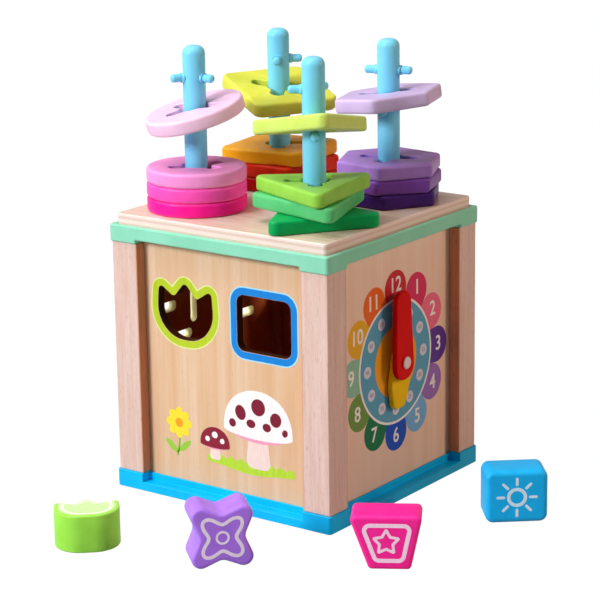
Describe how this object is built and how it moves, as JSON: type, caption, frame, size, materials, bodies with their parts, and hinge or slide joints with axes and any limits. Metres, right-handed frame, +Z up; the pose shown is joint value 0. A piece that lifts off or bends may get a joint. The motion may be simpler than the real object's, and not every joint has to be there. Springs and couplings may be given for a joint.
{
  "type": "shape sorter",
  "caption": "Wooden activity box with shaped posting holes, a clock face with turning hands, loose blocks, and a lift-off lid whose pegs carry stacking pieces.",
  "frame": {"origin": "centre of the underside of the box", "axes": "+Z up, the panel with the tulip hole faces -Y, the clock face faces +X"},
  "size_m": [0.2143, 0.2255, 0.229],
  "materials": {
    "ring_blue": "satin moulded",
    "ring_mint": "satin moulded",
    "floor_ply": "raw plywood",
    "post_beech": "satin clear lacquer",
    "panel_ply": "satin clear lacquer with print",
    "lid_ply": "satin clear lacquer, bare edges",
    "screw_steel": "zinc plated",
    "spindle_white": "moulded",
    "hand_yellow": "gloss paint",
    "hand_red": "gloss paint",
    "peg_blue": "gloss paint",
    "disc_1_paint": "gloss paint",
    "disc_2_paint": "gloss paint",
    "disc_3_paint": "gloss paint",
    "disc_4_paint": "gloss paint",
    "square_1_paint": "gloss paint",
    "square_2_paint": "gloss paint",
    "square_3_paint": "gloss paint",
    "square_4_paint": "gloss paint",
    "triangle_1_paint": "gloss paint",
    "triangle_2_paint": "gloss paint",
    "triangle_3_paint": "gloss paint",
    "triangle_4_paint": "gloss paint",
    "hexagon_1_paint": "gloss paint",
    "hexagon_2_paint": "gloss paint",
    "hexagon_3_paint": "gloss paint",
    "hexagon_4_paint": "gloss paint",
    "tulip_block_paint": "gloss paint",
    "butterfly_block_paint": "gloss paint",
    "trapezoid_block_paint": "gloss paint",
    "square_block_paint": "gloss paint"
  },
  "bodies": {
    "box": {"base_frame": "ring_blue", "floor_board": "floor_ply", "corner_post_fl": "post_beech", "corner_post_fr": "post_beech", "corner_post_bl": "post_beech", "corner_post_br": "post_beech", "front_panel": "panel_ply", "right_panel": "panel_ply", "back_panel": "panel_ply", "left_panel": "panel_ply", "top_frame": "ring_mint", "base_screws": "screw_steel", "top_screws": "screw_steel", "clock_spindle": "spindle_white", "spindle_washers": "spindle_white"},
    "hour_hand": {"hour_hand": "hand_yellow"},
    "minute_hand": {"minute_hand": "hand_red"},
    "lid": {"lid_board": "lid_ply", "peg_discs": "peg_blue", "peg_squares": "peg_blue", "peg_triangles": "peg_blue", "peg_hexagons": "peg_blue", "pins_discs": "peg_blue", "pins_squares": "peg_blue", "pins_triangles": "peg_blue", "pins_hexagons": "peg_blue"},
    "disc_1": {"disc_1": "disc_1_paint"},
    "disc_2": {"disc_2": "disc_2_paint"},
    "disc_3": {"disc_3": "disc_3_paint"},
    "disc_4": {"disc_4": "disc_4_paint"},
    "square_1": {"square_1": "square_1_paint"},
    "square_2": {"square_2": "square_2_paint"},
    "square_3": {"square_3": "square_3_paint"},
    "square_4": {"square_4": "square_4_paint"},
    "triangle_1": {"triangle_1": "triangle_1_paint"},
    "triangle_2": {"triangle_2": "triangle_2_paint"},
    "triangle_3": {"triangle_3": "triangle_3_paint"},
    "triangle_4": {"triangle_4": "triangle_4_paint"},
    "hexagon_1": {"hexagon_1": "hexagon_1_paint"},
    "hexagon_2": {"hexagon_2": "hexagon_2_paint"},
    "hexagon_3": {"hexagon_3": "hexagon_3_paint"},
    "hexagon_4": {"hexagon_4": "hexagon_4_paint"},
    "tulip_block": {"tulip_block": "tulip_block_paint"},
    "butterfly_block": {"butterfly_block": "butterfly_block_paint"},
    "trapezoid_block": {"trapezoid_block": "trapezoid_block_paint"},
    "square_block": {"square_block": "square_block_paint"}
  },
  "joints": [
    {"name": "lid_lift", "type": "slide", "parent": "box", "child": "lid", "axis": [0, 0, 1], "range_m": [0, 0.08]},
    {"name": "hour_hand_turn", "type": "hinge", "parent": "box", "child": "hour_hand", "pos_m": [0.0643, 0, 0.0715], "axis": [1, 0, 0], "continuous": true},
    {"name": "minute_hand_turn", "type": "hinge", "parent": "box", "child": "minute_hand", "pos_m": [0.0643, 0, 0.0715], "axis": [1, 0, 0], "continuous": true},
    {"name": "disc_1_lift", "type": "slide", "parent": "lid", "child": "disc_1", "axis": [0, 0, 1], "range_m": [0, 0.088]},
    {"name": "disc_2_lift", "type": "slide", "parent": "disc_1", "child": "disc_2", "axis": [0, 0, 1], "range_m": [0, 0.08]},
    {"name": "disc_3_lift", "type": "slide", "parent": "disc_2", "child": "disc_3", "axis": [0, 0, 1], "range_m": [0, 0.073]},
    {"name": "disc_4_lift", "type": "slide", "parent": "disc_3", "child": "disc_4", "axis": [0, 0, 1], "range_m": [0, 0.05]},
    {"name": "square_1_lift", "type": "slide", "parent": "lid", "child": "square_1", "axis": [0, 0, 1], "range_m": [0, 0.088]},
    {"name": "square_2_lift", "type": "slide", "parent": "square_1", "child": "square_2", "axis": [0, 0, 1], "range_m": [0, 0.08]},
    {"name": "square_3_lift", "type": "slide", "parent": "square_2", "child": "square_3", "axis": [0, 0, 1], "range_m": [0, 0.073]},
    {"name": "square_4_lift", "type": "slide", "parent": "square_3", "child": "square_4", "axis": [0, 0, 1], "range_m": [0, 0.05]},
    {"name": "triangle_1_lift", "type": "slide", "parent": "lid", "child": "triangle_1", "axis": [0, 0, 1], "range_m": [0, 0.088]},
    {"name": "triangle_2_lift", "type": "slide", "parent": "triangle_1", "child": "triangle_2", "axis": [0, 0, 1], "range_m": [0, 0.08]},
    {"name": "triangle_3_lift", "type": "slide", "parent": "triangle_2", "child": "triangle_3", "axis": [0, 0, 1], "range_m": [0, 0.073]},
    {"name": "triangle_4_lift", "type": "slide", "parent": "triangle_3", "child": "triangle_4", "axis": [0, 0, 1], "range_m": [0, 0.05]},
    {"name": "hexagon_1_lift", "type": "slide", "parent": "lid", "child": "hexagon_1", "axis": [0, 0, 1], "range_m": [0, 0.088]},
    {"name": "hexagon_2_lift", "type": "slide", "parent": "hexagon_1", "child": "hexagon_2", "axis": [0, 0, 1], "range_m": [0, 0.08]},
    {"name": "hexagon_3_lift", "type": "slide", "parent": "hexagon_2", "child": "hexagon_3", "axis": [0, 0, 1], "range_m": [0, 0.073]},
    {"name": "hexagon_4_lift", "type": "slide", "parent": "hexagon_3", "child": "hexagon_4", "axis": [0, 0, 1], "range_m": [0, 0.05]},
    {"name": "tulip_block_lift", "type": "slide", "parent": "box", "child": "tulip_block", "axis": [0, 0, 1], "range_m": [0, 0.15]},
    {"name": "butterfly_block_lift", "type": "slide", "parent": "box", "child": "butterfly_block", "axis": [0, 0, 1], "range_m": [0, 0.15]},
    {"name": "trapezoid_block_lift", "type": "slide", "parent": "box", "child": "trapezoid_block", "axis": [0, 0, 1], "range_m": [0, 0.15]},
    {"name": "square_block_lift", "type": "slide", "parent": "box", "child": "square_block", "axis": [0, 0, 1], "range_m": [0, 0.15]}
  ]
}
